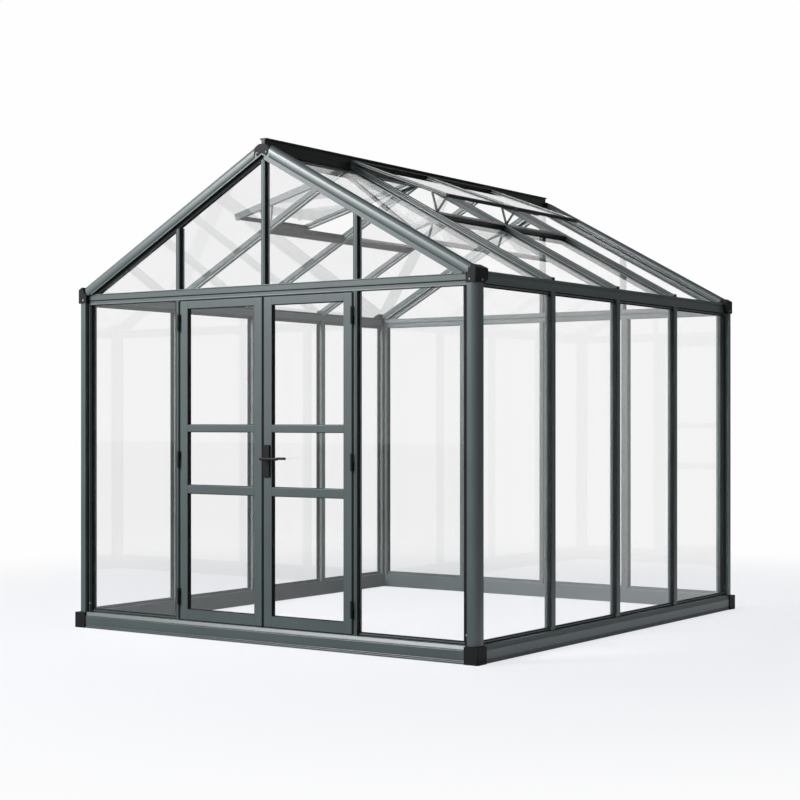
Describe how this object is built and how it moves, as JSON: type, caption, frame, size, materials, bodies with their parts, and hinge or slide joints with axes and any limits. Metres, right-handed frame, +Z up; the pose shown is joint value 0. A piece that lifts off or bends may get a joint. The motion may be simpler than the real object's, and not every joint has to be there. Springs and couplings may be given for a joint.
{
  "type": "garden greenhouse",
  "caption": "Free-standing gable-roofed garden greenhouse with an aluminium profile frame on a low base, clear panes, an outward-opening double door and open roof vents.",
  "frame": {"origin": "centre of the base footprint, on the ground under the base", "axes": "X runs left to right seen from the door side, Y runs from the door gable (-Y) to the back gable (+Y), Z is up"},
  "size_m": [2.708, 2.941, 2.633],
  "materials": {
    "frame_green": "powder coated aluminium extrusion, satin, dark grey-green",
    "ridge_black": "powder coated aluminium capping, satin, near black",
    "moulded_black": "moulded plastic corner pieces, fine grain, black",
    "hardware_black": "coated steel ironmongery, satin black",
    "clear_glass": "clear toughened glass, flat and polished"
  },
  "bodies": {
    "frame": {"base_end_beams": "frame_green", "base_side_beams": "frame_green", "base_corner_blocks": "moulded_black", "corner_posts": "frame_green", "front_jambs": "frame_green", "back_mullions": "frame_green", "left_mullions": "frame_green", "right_mullions": "frame_green", "tie_beams": "frame_green", "eave_beams": "frame_green", "bottom_glazing_rails": "frame_green", "top_glazing_rails": "frame_green", "front_barge_left": "frame_green", "front_barge_right": "frame_green", "back_barge_left": "frame_green", "back_barge_right": "frame_green", "gable_studs": "frame_green", "ridge_beam": "frame_green", "ridge_cap": "ridge_black", "ridge_connectors": "moulded_black", "eave_connectors": "moulded_black", "rafters_left": "frame_green", "rafters_right": "frame_green", "vent_sills": "frame_green", "front_wall_panes": "clear_glass", "back_wall_panes": "clear_glass", "side_wall_panes": "clear_glass", "gable_panes": "clear_glass", "roof_panes_left": "clear_glass", "roof_panes_right": "clear_glass", "vent_side_bars": "frame_green", "vent_rails": "frame_green", "vent_panes": "clear_glass", "vent_stays": "hardware_black", "jamb_hinges": "hardware_black"},
    "left_door": {"left_door_stiles": "frame_green", "left_door_rails": "frame_green", "left_door_panes": "clear_glass", "left_door_hinges": "hardware_black"},
    "right_door": {"right_door_stiles": "frame_green", "right_door_rails": "frame_green", "right_door_panes": "clear_glass", "right_door_hinges": "hardware_black", "lock_plate": "hardware_black"},
    "lever": {"lever_handle": "hardware_black"}
  },
  "joints": [
    {"name": "left_door_swing", "type": "hinge", "parent": "frame", "child": "left_door", "pos_m": [-0.5855, -1.438, 0.954], "axis": [0, 0, -1], "range_deg": [0, 110]},
    {"name": "right_door_swing", "type": "hinge", "parent": "frame", "child": "right_door", "pos_m": [0.5855, -1.438, 0.954], "axis": [0, 0, 1], "range_deg": [0, 110]},
    {"name": "lever_turn", "type": "hinge", "parent": "right_door", "child": "lever", "pos_m": [0.028, -1.435, 0.965], "axis": [0, 1, 0], "range_deg": [0, 40]}
  ]
}
